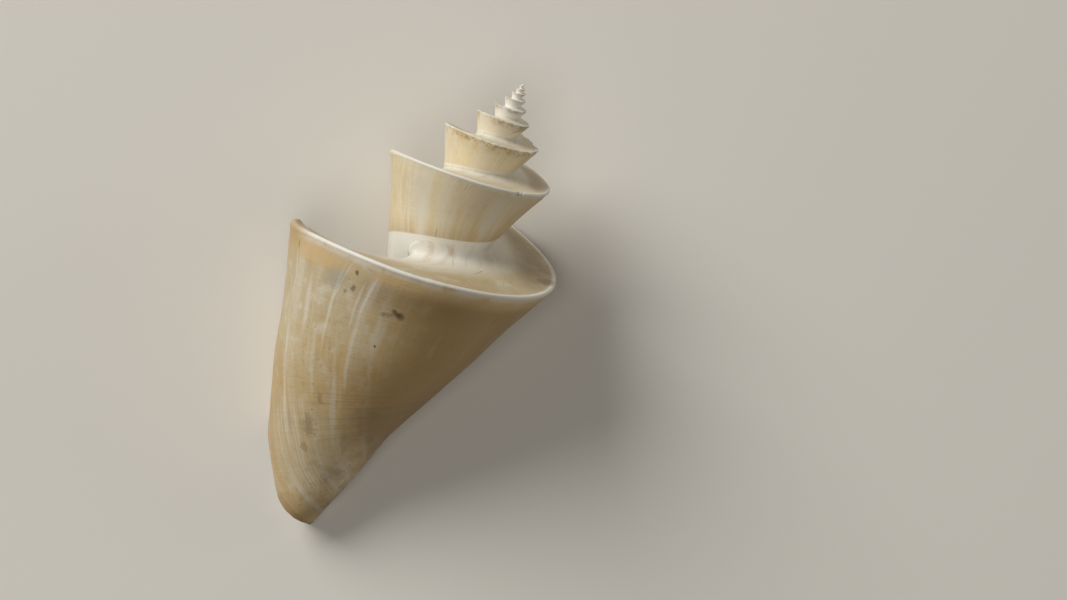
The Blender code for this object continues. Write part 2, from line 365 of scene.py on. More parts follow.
def cord(n, angle, sizes, worn):
    """Radius and drop of a point on the keel's cord: a circle through the keel, whose centre lies inward on
    the line halfway between ramp and wall. A worn keel is pushed in along it, most in the cord's middle."""
    top = np.stack(keel(n))
    along_ramp = np.stack(ramp(n, 1 - NEAR_KEEL)) - top
    along_wall = np.stack(wall(n, NEAR_KEEL)) - top
    along_ramp, along_wall = (v / np.maximum(np.hypot(*v), TINY) for v in (along_ramp, along_wall))
    inward = along_ramp + along_wall
    inward = inward / np.maximum(np.hypot(*inward), TINY)
    across = np.stack([inward[1], -inward[0]])
    across = across * np.sign((across * (along_wall - along_ramp)).sum(0))
    size = cord_radius(n, sizes)
    pushed = worn * (0.25 * (1 + 3 * np.cos(angle)))
    return top + (size + pushed) * inward + size * (np.sin(angle) * across - np.cos(angle) * inward)


def cavity_depth(n, thick):
    """Depth on the wall of whorl n at which the cavity of the next whorl starts, under its ramp."""
    n = np.minimum(n, -1)
    return depth_at(n, fold(n + 1)[1] + thick)


def pillar_end(n):
    """Drop at which the wall of whorl n ends on the pillar; past the lip this is the tip of the pillar."""
    n = np.minimum(n, LIP_WHORL + BASE_AHEAD[1][-1])
    return keel(n)[1] + PILLAR_DEPTH * keel(n)[0]


def place(n, radius, drop):
    """Points of the upright shell at angle pi (1 - 2n), clockwise seen from the apex, with the lifted keel
    and a lean of the tip that grows as the square of the drop below its start."""
    angle = np.pi * (1 - 2 * n)
    lift = curve(np.clip(n, LIFT[0][0], LIFT[0][-1]), *LIFT)
    drop = drop - lift * smooth(radius / np.maximum(keel(n)[0], TINY), LIFT_START, 1)
    lean = TIP_BEND * np.clip((drop - BEND_START) / (pillar_end(1) - BEND_START), 0, None) ** 2
    return np.stack([radius * np.cos(angle) - lean, radius * np.sin(angle), -drop], -1)


def growth_time(n, drop):
    """When a point of the wall or base was laid down: the time whose growth line passes whorl number n at
    that drop. The line's whorl number only rises with time, so halving finds it."""
    low, high = n - SEARCH_TURNS[0], np.minimum(n + SEARCH_TURNS[1], LIP_WHORL)
    for _ in range(HALVINGS):
        middle = (low + high) / 2
        late = middle + np.interp(depth_at(middle, drop), LINE_DEPTH, LINE_LEAD) > n
        low, high = np.where(late, low, middle), np.where(late, middle, high)
    return high


def even_shares(steps, creep, reach):
    """Shares from 0 to 1 whose steps along the ramp are even, counting its creep and its reach."""
    share = np.linspace(0, 1, 20 * steps)
    length = creep * (1 - (1 - share) ** FOLD_POWER) + reach * share**FOLD_POWER
    return np.interp(np.linspace(0, 1, steps + 1), length / length[-1], share)


class Grid:
    """Arrays of the shell's surface, row by row along the spiral and column by column along the profile."""

    def __init__(self, sizes):
        self.rows = int(np.ceil((LIP_WHORL - FIRST_WHORL + SPARE_TURN) * TURN_ROWS))
        self.time = LIP_WHORL - (self.rows - np.arange(self.rows + 1))[:, None] / TURN_ROWS
        self.sizes = sizes
        self.wall_share = sizes.wall_thickness * 1000 / KEEL_RADIUS[-1]
        self.lay_out_columns()
        self.work_out_points()

    def lay_out_columns(self):
        """Place of each column on the profile, 0 to 1 on the ramp, 1 to 2 on the wall and 2 to 3 on the base.
        The shares next to the keel leave room for the cord."""
        least = 1e-3
        time, radius = self.time, np.maximum(keel(self.time)[0], least)
        room = CORD_ROOM * cord_radius(time, self.sizes)
        ramp_end = np.clip(1 - room / np.maximum(radius - fold(time)[0], least), 0.4, 1) ** (1 / FOLD_POWER)
        wall_start = np.clip(room / (suture_depth(time) * radius), 0, 0.3)
        ramp_shares = even_shares(RAMP_STEPS, *RAMP_LENGTHS) * ramp_end
        wall_shares = wall_start + (1 - wall_start) * np.linspace(0, 1, WALL_STEPS)
        steps = np.linspace(0, len(BASE_SHARES) - 1, BASE_STEPS + 1)
        base_shares = np.interp(steps, range(len(BASE_SHARES)), BASE_SHARES)
        cord_places = ramp_end + (1 + wall_start - ramp_end) * (CORNER_SHARES * 0.8 + 0.1)
        base_places = np.broadcast_to(2 + base_shares, (len(time), len(base_shares)))
        self.place_on_profile = np.concatenate([ramp_shares, cord_places, 1 + wall_shares, base_places], 1)
        self.first_cord = RAMP_STEPS + 1
        self.first_wall = self.first_cord + len(CORD_ANGLES)
        self.suture = self.first_wall + WALL_STEPS - 1
        self.last = self.place_on_profile.shape[1] - 1

    def work_out_points(self):
        """Whorl numbers, the row's time plus the column's lead, and from them the outer and inner points."""
        time, places = self.time, self.place_on_profile
        first_cord, first_wall, suture = self.first_cord, self.first_wall, self.suture
        ramps, walls = places[:, :first_cord], places[:, first_wall : suture + 1] - 1
        bases = places[:, suture + 1 :] - 2
        cords = np.zeros((len(time), len(CORD_ANGLES)))
        leads = [curve(ramps, *RAMP_AHEAD), cords, curve(walls, *WALL_AHEAD), curve(bases, *BASE_AHEAD)]
        ahead = np.concatenate(leads, 1)
        ahead[:, suture] = ahead[:, 0] + SKEW_ROWS / TURN_ROWS
        self.whorl = n = time + ahead
        on_ramp, on_cord, on_wall, on_base = np.split(n, [first_cord, first_wall, suture + 1], axis=1)

        thin = 1 - THIN_SHARE * smooth(time, LIP_WHORL - THIN_TURN, LIP_WHORL)
        thick = [self.wall_share * keel(part)[0] * thin for part in (on_ramp, on_cord, on_wall, on_base)]
        start = cavity_depth(on_base, self.wall_share * keel(np.minimum(on_base, -1) + 1)[0])
        end = depth_at(on_base, pillar_end(on_base + 1))
        base = wall(on_base, start + (end - start) * bases)
        self.worn = wear(time)
        rim = cord(on_cord, CORD_ANGLES, self.sizes, self.worn)
        outer = [ramp(on_ramp, ramps), rim, wall(on_wall, walls * suture_depth(on_wall)), base]
        pillar = wall(on_base - 1, depth_at(on_base - 1, base[1]))[0]
        base_inside = base[0] - np.minimum(thick[3], 0.5 * (base[0] - pillar))
        under = [np.stack(v) for v in (
            ramp_underside(on_cord, ramps[:, -1:], thick[1]),
            ramp_underside(on_cord, 1.0, thick[1]),
            wall_inside(on_cord, walls[:, :1], thick[1]),
        )]
        f = CORNER_SHARES * 0.9 + 0.05
        corner = (1 - f) ** 2 * under[0] + 2 * f * (1 - f) * under[1] + f * f * under[2]
        wall_within = wall_inside(on_wall, walls, thick[2])
        inner = [ramp_underside(on_ramp, ramps, thick[0]), corner, wall_within, (base_inside, base[1])]
        self.outer, self.inner = (
            place(n, *(np.concatenate(v, 1) for v in zip(*side))) for side in (outer, inner)
        )
        drops = np.concatenate([outer[2][1], outer[3][1]], 1)
        laid = growth_time(n[:, first_wall:], drops)
        depth = np.concatenate([places[:, :first_wall], 1 + depth_at(laid, drops)], 1)
        laid = np.concatenate([time + 0 * ahead[:, :first_wall], laid], 1)
        self.growth = np.stack([laid, depth], -1)
        self.outer = self.outer + relief(self)[..., None] * normals(self.outer)


def normals(points):
    """Unit normals of a grid, pointing outwards: the cross product of its steps along both sides."""
    across = np.cross(np.gradient(points, axis=0), np.gradient(points, axis=1))
    return across / np.maximum(np.linalg.norm(across, axis=-1, keepdims=True), TINY)


# Chips in the keel: whorl number, half width in turns and depth in mm.
CHIPS = [
    (-1.352, 0.0095, 0.35), (-2.34, 0.012, 0.15), (-2.39, 0.015, 0.25), (-2.45, 0.014, 0.25),
    (-2.56, 0.030, 0.70), (-2.64, 0.020, 0.40), (-3.36, 0.015, 0.15), (-3.43, 0.020, 0.30),
    (-3.52, 0.015, 0.25), (-4.45, 0.030, 0.15),
]
# The ragged keel of the early whorls: cells to a turn, share and seed of its two noises, its depth over the
# keel's radius, and the turns before time 0 over which it sets in and ends.
RAGGED_KEEL = [(90, 1.0, 5), (230, 0.5, 6)]
RAGGED_DEPTH = 0.05
RAGGED_FROM = (1.9, 2.3)
RAGGED_TO = (6, 5)


def wear(time):
    """Depth in mm by which the keel is worn: chips, and on the early whorls but the first ones a ragged edge,
    which is noise above its middle times the keel's radius."""
    worn = np.zeros_like(time)
    for whorl, width, depth in CHIPS:
        worn = np.maximum(worn, depth * smooth(1 - np.abs(time - whorl) / width, 0, 0.5))
    old = smooth(-time, *RAGGED_FROM) * smooth(-time, *RAGGED_TO)
    for cells, share, seed in RAGGED_KEEL:
        ragged = np.maximum(noise(time * cells, 0 * time, seed) - 0.5, 0)
        worn = worn + old * share * ragged * RAGGED_DEPTH * keel(time)[0]
    return worn


def relief(grid):
    """Height in mm of the fine relief: growth ridges as noise of the time of growth, which fade in and out
    along the profile and are higher on the base, and the step where the ramp's edge meets the wall."""
    time, places = np.moveaxis(grid.growth, -1, 0)
    size = keel(time)[0] / KEEL_RADIUS[-1]
    ridges = 0.6 * noise(time * 44, places * 0.6, 1) + 0.4 * noise(time * 90, places, 2) - 0.5
    fade = (0.35 + 0.65 * noise(time * 9, places * 3, 3)) * (1 + 2 * smooth(places, 2.1, 2.45))
    on_cord = np.zeros(places.shape[1])
    on_cord[grid.first_cord : grid.first_wall] = 1
    step = smooth(places, 0, 0.03) * smooth(places, 0.7, 0.3)
    height = grid.sizes.ridge_height * 1000 * size * ridges * fade * (1 - on_cord) * smooth(places, 0, 0.1)
    return height + EDGE_STEP * size * step * (places < 1)


def numbered(used, first):
    """Point numbers for the used places of a grid, counted from first."""
    numbers = np.zeros(used.shape, int)
    numbers[used] = first + np.arange(used.sum())
    return numbers


def strip(grid):
    """The four corners of each cell of a grid, in order round the cell."""
    corners = [grid[:-1, :-1], grid[1:, :-1], grid[1:, 1:], grid[:-1, 1:]]
    return np.stack(corners, 2).reshape(-1, 4, *grid.shape[2:])


def merged(rows, steps):
    """For each row, the row that stands for it: before the row of each step, every so many rows are one."""
    row = np.arange(rows + 1)
    step = np.ones_like(row)
    for end, count in steps:
        step[: end // BLOCK_ROWS * BLOCK_ROWS] = count
    return row // step * step


def lip_edge(grid):
    """Points of the rounded lip: half circles from outside to inside, ahead of the last row."""
    outside, inside = grid.outer[-1], grid.inner[-1]
    half, middle = (outside - inside) / 2, (outside + inside) / 2
    thick = np.maximum(np.linalg.norm(half, axis=-1, keepdims=True), TINY)
    ahead = grid.outer[-1] - grid.outer[-2]
    ahead = ahead - half * (ahead * half).sum(-1, keepdims=True) / thick**2
    ahead = ahead / np.maximum(np.linalg.norm(ahead, axis=-1, keepdims=True), TINY)
    angle = np.linspace(0, np.pi, LIP_STEPS + 1)[1:-1, None, None]
    return middle + half * np.cos(angle) + ahead * thick * np.sin(angle)


def shell_surface(sizes):
    """Points, cells, growth coordinates of the cells' corners, the face that ends the cavity, and the points'
    values: how far each lies inside, whether it is on the cord, and how worn it is.

    Each surface is a grid. The start of a row on the wall before is a point of an earlier row there, so every
    whorl is joined to the last by shared points. Where rows are merged, their cells fold up to nothing.
    """
    grid = Grid(sizes)
    rows, suture, last = grid.rows, grid.suture, grid.last
    back = TURN_ROWS + SKEW_ROWS
    start = (rows - int(CAVITY_TURNS * TURN_ROWS)) // BLOCK_ROWS * BLOCK_ROWS
    growth = grid.growth.copy()

    used = grid.whorl > FIRST_WHORL + 0.3 / TURN_ROWS
    used[:, 0] = used[:, suture + 1 :] = False
    used[start - TURN_ROWS :, suture + 1 :] = True
    used[start - back :, suture + 1] = True
    outer = numbered(used, 1)
    hollow = np.zeros(used.shape, bool)
    hollow[start:, 1:last] = True
    inner = numbered(hollow, 1 + used.sum())

    steps = [(rows - round((LIP_WHORL - whorl) * TURN_ROWS), count) for whorl, count in COARSE_ROWS]
    kept = merged(rows, steps)
    at_suture = np.arange(rows + 1)
    at_suture[: rows + 1 - back] = kept[back:] - back
    outer[:, :suture], growth[:, :suture] = outer[kept, :suture], growth[kept, :suture]
    outer[:, suture] = outer[np.maximum(at_suture, 0), suture]
    outer[back:, 0] = outer[: rows + 1 - back, suture]
    kept = merged(rows, [(rows - int((1 + SEEN_TURNS) * TURN_ROWS), 2)])
    outer[:, suture + 1 : last] = outer[kept, suture + 1 : last]
    growth[:, suture + 1 : last] = growth[kept, suture + 1 : last]
    kept = merged(rows, [(rows - int(SEEN_TURNS * TURN_ROWS), 2)])
    inner[:, 1:last] = inner[kept, 1:last]
    inner[start:, 0] = outer[start - back : rows + 1 - back, suture + 1]
    inner[start:, last] = outer[start - TURN_ROWS : rows + 1 - TURN_ROWS, last]

    edge_points = lip_edge(grid)[:, 1:last]
    edge_count = edge_points[..., 0].size
    first_edge = 1 + used.sum() + hollow.sum()
    edge = np.zeros((LIP_STEPS - 1, last + 1), int)
    edge[:, 1:last] = first_edge + np.arange(edge_count).reshape(LIP_STEPS - 1, -1)
    edge = np.concatenate([outer[-1:], edge, inner[-1:]])
    edge[1:-1, [0, last]] = edge[-1, [0, last]]

    tip_point = place(0.0, 0.0, pillar_end(1) + TIP_DOME)
    tip = first_edge + edge_count
    ring = outer[rows - TURN_ROWS :, last]
    fan = np.stack([np.full(len(ring), tip)] * 2 + [ring, np.roll(ring, -1)], 1)
    grids = [
        (outer[:, : suture + 1], growth[:, : suture + 1]),
        (outer[rows - back :, suture : suture + 2], growth[rows - back :, suture : suture + 2]),
        (outer[start - TURN_ROWS :, suture + 1 :], growth[start - TURN_ROWS :, suture + 1 :]),
        (inner[start:, ::-1], growth[start:, ::-1]),
        (edge, np.broadcast_to(growth[-1], (*edge.shape, 2))),
    ]
    cells = np.concatenate([strip(points) for points, _ in grids] + [fan])
    fan_places = np.full((len(fan), 4, 2), [LIP_WHORL - 1, 3.0])
    places = np.concatenate([strip(places) for _, places in grids] + [fan_places])
    far = inner[start, 1:last][::-1]
    along_suture = outer[start - back : start - TURN_ROWS + 1, suture + 1]
    near = np.concatenate([along_suture, outer[start - TURN_ROWS, suture + 2 :]])
    cavity_end = np.concatenate([far, near[np.append(True, np.diff(near) != 0)]])

    edge_points = edge_points.reshape(-1, 3)
    points = [np.zeros((1, 3)), grid.outer[used], grid.inner[hollow], edge_points, tip_point[None]]
    across_lip = np.repeat(np.linspace(0, 1, LIP_STEPS + 1)[1:-1], last - 1)
    inside = [np.zeros(1), hidden_share(grid)[used], np.ones(hollow.sum()), across_lip, np.ones(1)]
    on_cord = np.zeros(used.shape)
    on_cord[:, grid.first_cord : grid.first_wall] = 1
    elsewhere = np.zeros(hollow.sum() + edge_count + 1)
    values = {
        "inside": np.concatenate(inside),
        "cord": np.concatenate([[0], on_cord[used], elsewhere]),
        "worn": np.concatenate([[0], (grid.worn * on_cord)[used], elsewhere]),
    }
    return np.concatenate(points), cells, places, cavity_end, values


def hidden_share(grid):
    """How far each outer point is glazed over, as the wall inside the aperture is: from the cavity to a
    little past the lip, further on the pillar."""
    time, places = np.broadcast_arrays(grid.time, grid.place_on_profile)
    reach = GLAZE_TURN + PILLAR_GLAZE_TURN * smooth(places, 2.3, 2.9)
    return (places >= 2) * smooth(time, LIP_WHORL - 1 + reach + GLAZE_FADE_TURN, LIP_WHORL - 1 + reach)


def lay_down(points):
    """Turns the upright shell onto its aperture, with its apex where the stated solid has it."""
    spin, pitch = np.radians([REST_SPIN_DEG, REST_PITCH_DEG])
    about_axis = np.array([[np.cos(spin), -np.sin(spin), 0], [np.sin(spin), np.cos(spin), 0], [0, 0, 1]])
    about_side = np.array([[1, 0, 0], [0, np.cos(pitch), -np.sin(pitch)], [0, np.sin(pitch), np.cos(pitch)]])
    return points @ (about_side @ about_axis).T + APEX_PLACE


def mesh_from(name, points, cells, places, extra):
    """A mesh from points, four-cornered cells less their repeated corners, and one extra face with many
    corners. Its UV map holds the growth coordinates."""
    corners = cells != np.roll(cells, 1, axis=1)
    kept = corners.sum(1) > 2
    corners, cells, places = corners[kept], cells[kept], places[kept]
    loops = np.concatenate([cells[corners], extra])
    uvs = np.concatenate([places[corners], np.full((len(extra), 2), [LIP_WHORL - CAVITY_TURNS, 1.0])])
    counts = np.append(corners.sum(1), len(extra))
    used, loops = np.unique(loops, return_inverse=True)
    mesh = bpy.data.meshes.new(name)
    mesh.vertices.add(len(used))
    mesh.loops.add(len(loops))
    mesh.polygons.add(len(counts))
    mesh.vertices.foreach_set("co", (points[used] / 1000).astype(np.float32).ravel())
    mesh.loops.foreach_set("vertex_index", loops.astype(np.int32))
    mesh.polygons.foreach_set("loop_start", (np.cumsum(counts) - counts).astype(np.int32))
    mesh.update(calc_edges=True)
    mesh.uv_layers.new(name="growth").uv.foreach_set("vector", uvs.astype(np.float32).ravel())
    mesh.polygons.foreach_set("use_smooth", np.ones(len(counts), bool))
    return mesh, used


def add(tree, kind, inputs=None, **settings):
    """Adds a node. inputs maps a socket's name or number to a value or to another node's output."""
    made = tree.nodes.new(kind)
    for name, value in settings.items():
        setattr(made, name, value)
    for key, value in (inputs or {}).items():
        if isinstance(value, bpy.types.NodeSocket):
            tree.links.new(value, made.inputs[key])
        else:
            made.inputs[key].default_value = value
    return made


NOISE_ROUGHNESS = 0.55   # of every pattern

# Patterns of the shell's surface: the coordinates they are laid on, their cells to a unit, and their detail.
# On the growth coordinates a unit is one turn, about 190 mm round the keel at the lip, by one radius of the
# keel, about 30 mm there. On the body it is a metre.
PATTERNS = {
    "clouds": ("body", (75, 75, 75), 2.0),
    "mottle": ("body", (330, 330, 330), 3.0),
    "spots": ("body", (1100, 1100, 1100), 1.0),
    "grain": ("body", (2600, 2600, 2600), 2.0),
    "seasons": ("growth", (34, 0.5, 1), 2.0),
    "lines": ("growth", (120, 0.6, 1), 3.0),
    "hairs": ("growth", (420, 1.5, 1), 2.0),
    "breaks": ("growth", (14, 4, 1), 2.0),
    "threads": ("growth", (4, 52, 1), 1.0),
}

# Layers painted over the cream ground, in order: a colour, how much it covers at most, and its masks. A mask
# is a value and the numbers between which it rises from nothing to all, or falls where the first is larger.
LAYERS = [
    # The ground, with its clouds, mottling and grain.
    ("beige", 1, ("time", -1, -0.6)),
    ("tan", 0.35, ("clouds", 0.48, 0.66), ("time", -1, -0.8)),
    ("tan", 0.15, ("mottle", 0.5, 0.72)),
    ("tan", 0.25, ("mottle", 0.5, 0.72), ("time", -1, -0.8)),
    ("chalk", 0.15, ("mottle", 0.48, 0.3)),
    ("chalk", 0.25, ("mottle", 0.48, 0.3), ("time", -1, -0.8)),
    ("tan", 0.15, ("grain", 0.5, 0.75)),
    # The right of the back and the unseen side: a browner tone, deepened as painted warm shade where the back
    # turns away from the light, in a strip just under the keel and low on the body.
    ("tan", 0.9, ("time", -0.15, -0.32), ("time", -0.85, -0.5), ("across", 1.02, 1.2)),
    ("brown", 0.35, ("time", -0.22, -0.34), ("time", -0.65, -0.48), ("across", 1.02, 1.25)),
    # Painted shade in a strip just under the keel band.
    ("brown", 0.32, ("time", -0.16, -0.22), ("time", -0.36, -0.28), ("across", 1.05, 1.14),
     ("across", 1.45, 1.22)),
    ("brown", 0.35, ("across", 1.6, 2), ("across", 2.55, 2.35), ("time", -0.12, -0.26)),
    # Bands of the seasons and growth lines.
    ("orange", 0.3, ("seasons", 0.54, 0.72), ("breaks", 0.4, 0.6)),
    ("chalk", 0.4, ("seasons", 0.5, 0.38), ("time", -0.5, -0.7)),
    ("tan", 0.15, ("seasons", 0.46, 0.62), ("time", -0.85, -1), ("time", -1.9, -1.75), ("across", 1, 1.1)),
    ("tan", 0.25, ("time", -1.17, -1.33), ("time", -1.7, -1.55), ("across", 1, 1.1)),
    ("chalk", 0.35, ("seasons", 0.5, 0.34), ("time", -0.27, -0.2), ("mottle", 0.35, 0.5)),
    ("chalk", 0.25, ("lines", 0.54, 0.7), ("time", -0.26, -0.16), ("across", 2.45, 1.9),
     ("mottle", 0.35, 0.5)),
    ("chalk", 0.35, ("lines", 0.54, 0.7), ("time", -0.5, -0.65), ("mottle", 0.35, 0.5)),
    ("brown", 0.2, ("lines", 0.42, 0.28), ("breaks", 0.55, 0.4)),
    ("tan", 0.25, ("hairs", 0.5, 0.8), ("mottle", 0.4, 0.6)),
    # Specks, the warm band under the keel, and spiral threads low on the wall.
    ("brown", 0.3, ("spots", 0.58, 0.74), ("across", 1.3, 1.8), ("clouds", 0.4, 0.6), ("time", -0.6, -0.4)),
    ("orange", 0.5, ("across", 1.01, 1.05), ("across", 1.2, 1.07), ("clouds", 0.26, 0.46),
     ("time", -1.1, -0.8)),
    ("brown", 0.4, ("threads", 0.48, 0.62), ("across", 1.95, 2.1), ("across", 2.45, 2.3),
     ("time", -0.09, -0.15)),
    # The base and the tip.
    ("tan", 0.5, ("across", 1.55, 2.15), ("across", 2.65, 2.3)),
    ("grey", 0.3, ("mottle", 0.5, 0.62), ("across", 2.05, 2.25), ("across", 2.66, 2.58)),
    ("chalk", 0.45, ("hairs", 0.54, 0.68), ("across", 2, 2.25), ("across", 2.64, 2.58),
     ("time", -0.16, -0.08)),
    ("brown", 0.4, ("hairs", 0.46, 0.34), ("across", 2, 2.25), ("time", -0.16, -0.08)),
    # Painted warm shade low on the shaded right of the last whorl, over its browner tone.
    ("brown", 0.35, ("across", 1.8, 2.3), ("time", -0.17, -0.28)),
    ("brown", 0.15, ("across", 2.1, 2.3), ("mottle", 0.5, 0.7)),
    ("beige", 0.4, ("across", 2.12, 2.28), ("across", 2.6, 2.48), ("time", -0.22, -0.12)),
    ("brown", 0.5, ("across", 2.62, 2.72)),
    # The ramp: a light tan over most of it, painted shade at its right ends, the whitish band along the
    # suture, and the brown line at its edge.
    ("tan", 0.15, ("across", 0.97, 0.8)),
    # Painted shade: brown at the right ends of the last two ramps, where the wall of the whorl before shades
    # them.
    ("brown", 0.35, ("across", 1, 0.9), ("time", -0.38, -0.46), ("time", -0.75, -0.65)),
    ("brown", 0.35, ("across", 1, 0.9), ("time", -1.38, -1.46), ("time", -1.75, -1.65)),
    ("chalk", 0.85, ("across", 0.86, 0.62)),
    ("porcelain", 0.65, ("across", 0.6, 0.4), ("time", -0.25, -0.15)),
    ("tan", 0.2, ("across", 0.78, 0.55), ("seasons", 0.5, 0.66)),
    ("brown", 0.5, ("across", 0.022, 0.006), ("mottle", 0.35, 0.5)),
    # The pale apex, and stains and dirt under the keels of the early whorls.
    ("porcelain", 0.9, ("time", -2.6, -4.2)),
    ("orange", 0.6, ("across", 1, 1.04), ("across", 1.32, 1.08), ("time", -1.75, -2), ("mottle", 0.4, 0.6)),
    ("brown", 0.42, ("across", 1, 1.03), ("across", 1.2, 1.05), ("time", -1.9, -2.1),
     ("spots", 0.46, 0.66)),
    ("brown", 0.28, ("across", 1, 1.03), ("across", 1.4, 1.1), ("time", -2.9, -3.1),
     ("time", -5.2, -4.6), ("mottle", 0.4, 0.6)),
    ("soot", 0.45, ("across", 1, 1.03), ("across", 1.24, 1.1), ("time", -2, -2.2), ("grain", 0.6, 0.7)),
    # The white keel and its worn places.
    ("porcelain", 0.75, ("across", 1.09, 1), ("across", 0.97, 0.99), ("mottle", 0.75, 0.5)),
    ("porcelain", 0.8, ("across", 1, 0.999), ("across", 0.93, 0.96), ("time", -0.2, -0.15)),
    ("porcelain", 0.85, ("cord", 0, 0.8), ("across", 1.05, 1.01)),
    ("brown", 0.6, ("worn", 0.05, 0.3), ("spots", 0.35, 0.6)),
    # The warm rim of the lip.
    ("tan", 0.8, ("time", -0.1, -0.045), ("across", 0.93, 1), ("across", 1.25, 1.05)),
    ("orange", 0.45, ("time", -0.03, 0.01), ("across", 0.93, 1), ("across", 1.35, 1.1)),
    ("brown", 0.3, ("time", 0.01, 0.028), ("across", 0.9, 1), ("across", 1.7, 1.1)),
    ("tan", 0.45, ("time", -0.03, 0.02), ("across", 1.1, 1.6)),
]

RAGGED_CELLS = 1500      # cells to a metre of the noise that makes the edges of marks ragged

# A mark is whole up to the first of these and gone past the second, as squares of the reach from its middle.
MARK_EDGE = (0.05, 1.35)

# Marks, each a stroke: growth coordinates of its two ends, half width in mm, colour, cover, raggedness in mm.
MARKS = [
    # Whitish growth lines on the last whorl, and the warm one beside them.
    ((-0.156, 1.06), (-0.1445, 1.76), 0.42, "chalk", 0.5, 0.1),
    ((-0.163, 1.06), (-0.152, 1.4), 0.25, "chalk", 0.45, 0.1),
    ((-0.2, 1.1), (-0.1936, 1.5), 0.35, "chalk", 0.55, 0.1),
    ((-0.1955, 1.48), (-0.185, 2.02), 0.5, "chalk", 0.4, 0.1),
    ((-0.188, 1.18), (-0.184, 1.56), 0.4, "chalk", 0.45, 0.1),
    ((-0.108, 1.3), (-0.1075, 1.62), 0.8, "chalk", 0.45, 0.2),
    ((-0.0705, 1.28), (-0.069, 1.52), 0.3, "chalk", 0.45, 0.1),
    ((-0.0648, 1.12), (-0.0719, 1.34), 0.28, "chalk", 0.45, 0.1),
    ((-0.07, 1.6), (-0.0544, 2.15), 0.6, "chalk", 0.32, 0.3),
    ((-0.056, 2.05), (-0.05, 2.35), 0.7, "chalk", 0.28, 0.3),
    ((-0.133, 1.6), (-0.123, 2.1), 0.6, "chalk", 0.22, 0.3),
    ((-0.17, 1.9), (-0.156, 2.4), 0.6, "chalk", 0.25, 0.3),
    ((-0.229, 1.45), (-0.225, 1.68), 1.4, "chalk", 0.22, 0.5),
    ((-0.189, 1.54), (-0.174, 2.2), 0.6, "orange", 0.4, 0.3),
    # Whitish and warm bands on the whorl before.
    ((-1.1, 1.06), (-1.1, 1.66), 0.8, "orange", 0.35, 0.3),
    ((-1.118, 1.06), (-1.123, 1.84), 0.5, "chalk", 0.45, 0.2),
    ((-1.146, 1.05), (-1.164, 1.84), 2.4, "chalk", 0.55, 0.5),
    ((-1.322, 1.1), (-1.343, 1.76), 1.8, "chalk", 0.5, 0.4),
    ((-1.356, 1.18), (-1.376, 1.8), 0.6, "chalk", 0.35, 0.2),
    # The bluish patch and the warm ones under the keel.
    ((-0.15, 1.2), (-0.143, 1.23), 2.6, "grey", 0.4, 1.2),
    ((-0.07, 1.13), (-0.15, 1.13), 2, "orange", 0.6, 1.6),
    ((-0.19, 1.1), (-0.26, 1.09), 1.1, "orange", 0.45, 1.2),
    ((-0.2087, 1.38), (-0.2087, 1.4), 1.1, "orange", 0.35, 1),
    # The brown knob at the end of the keel.
    ((0.015, 0.96), (0.02, 1.03), 1.3, "brown", 0.3, 0.6),
    # Dark spots.
    ((-0.1725, 1.124), (-0.174, 1.14), 0.42, "soot", 0.7, 0.3),
    ((-0.1751, 1.245), (-0.1755, 1.26), 0.6, "soot", 0.55, 0.5),
    ((-0.1658, 1.292), (-0.166, 1.3), 0.4, "soot", 0.4, 0.4),
    ((-0.1661, 1.196), (-0.1662, 1.198), 0.15, "soot", 0.65, 0.1),
    ((-0.2354, 1.325), (-0.245, 1.356), 0.5, "soot", 0.65, 0.4),
    ((-0.2455, 1.352), (-0.249, 1.366), 0.8, "soot", 0.6, 0.5),
    ((-0.229, 1.374), (-0.236, 1.362), 0.6, "soot", 0.3, 0.7),
    ((-0.2234, 1.382), (-0.224, 1.386), 0.5, "soot", 0.35, 0.5),
    ((-0.2277, 1.643), (-0.2278, 1.646), 0.26, "soot", 0.85, 0.1),
    ((-0.1277, 1.99), (-0.1278, 1.994), 0.15, "soot", 0.6, 0.1),
    ((-0.121, 2.16), (-0.1211, 2.164), 0.17, "soot", 0.6, 0.1),
    ((-0.065, 1.075), (-0.0675, 1.135), 0.2, "brown", 0.9, 0.2),
    # Brown stains low on the last whorl, and painted warm shade over its shaded lower right.
    ((-0.1098, 2.22), (-0.1098, 2.3), 1.3, "brown", 0.35, 2),
    ((-0.1394, 2.06), (-0.1394, 2.11), 0.6, "brown", 0.35, 0.7),
    ((-0.085, 2.38), (-0.09, 2.4), 0.7, "brown", 0.3, 1.2),
    # Painted warm shade over the dark lower right of the last whorl.
    ((-0.23, 2.22), (-0.25, 2.32), 2.5, "brown", 0.2, 1.5),
    ((-0.242, 2.4), (-0.246, 2.44), 0.8, "brown", 0.35, 0.9),
    # Warm flames, whitish bands and scars on the ramp, and a brown mark inside the corner of the keel at the
    # ramp's right end.
    ((0, 0.06), (-0.015, 0.42), 0.8, "tan", 0.3, 0.5),
    ((-0.05, 0.06), (-0.0933, 0.38), 0.6, "tan", 0.3, 0.5),
    ((-0.0933, 0.38), (-0.103, 0.62), 0.12, "brown", 0.35, 0.1),
    ((-0.02, 0.08), (-0.04, 0.36), 1, "porcelain", 0.5, 0.3),
    ((-0.085, 0.06), (-0.115, 0.36), 1.4, "porcelain", 0.6, 0.4),
    ((-0.2518, 0.731), (-0.231, 0.684), 0.22, "brown", 0.5, 0.2),
    ((-0.472, 0.93), (-0.495, 0.985), 1.3, "brown", 0.5, 1.2),
    ((-1.2111, 1.723), (-1.2088, 1.86), 0.12, "brown", 0.4, 0.1),
    # A crack across the third whorl from the last.
    ((-3.4469, 1.042), (-3.33, 1.47), 0.09, "soot", 0.85, 0.1),
]

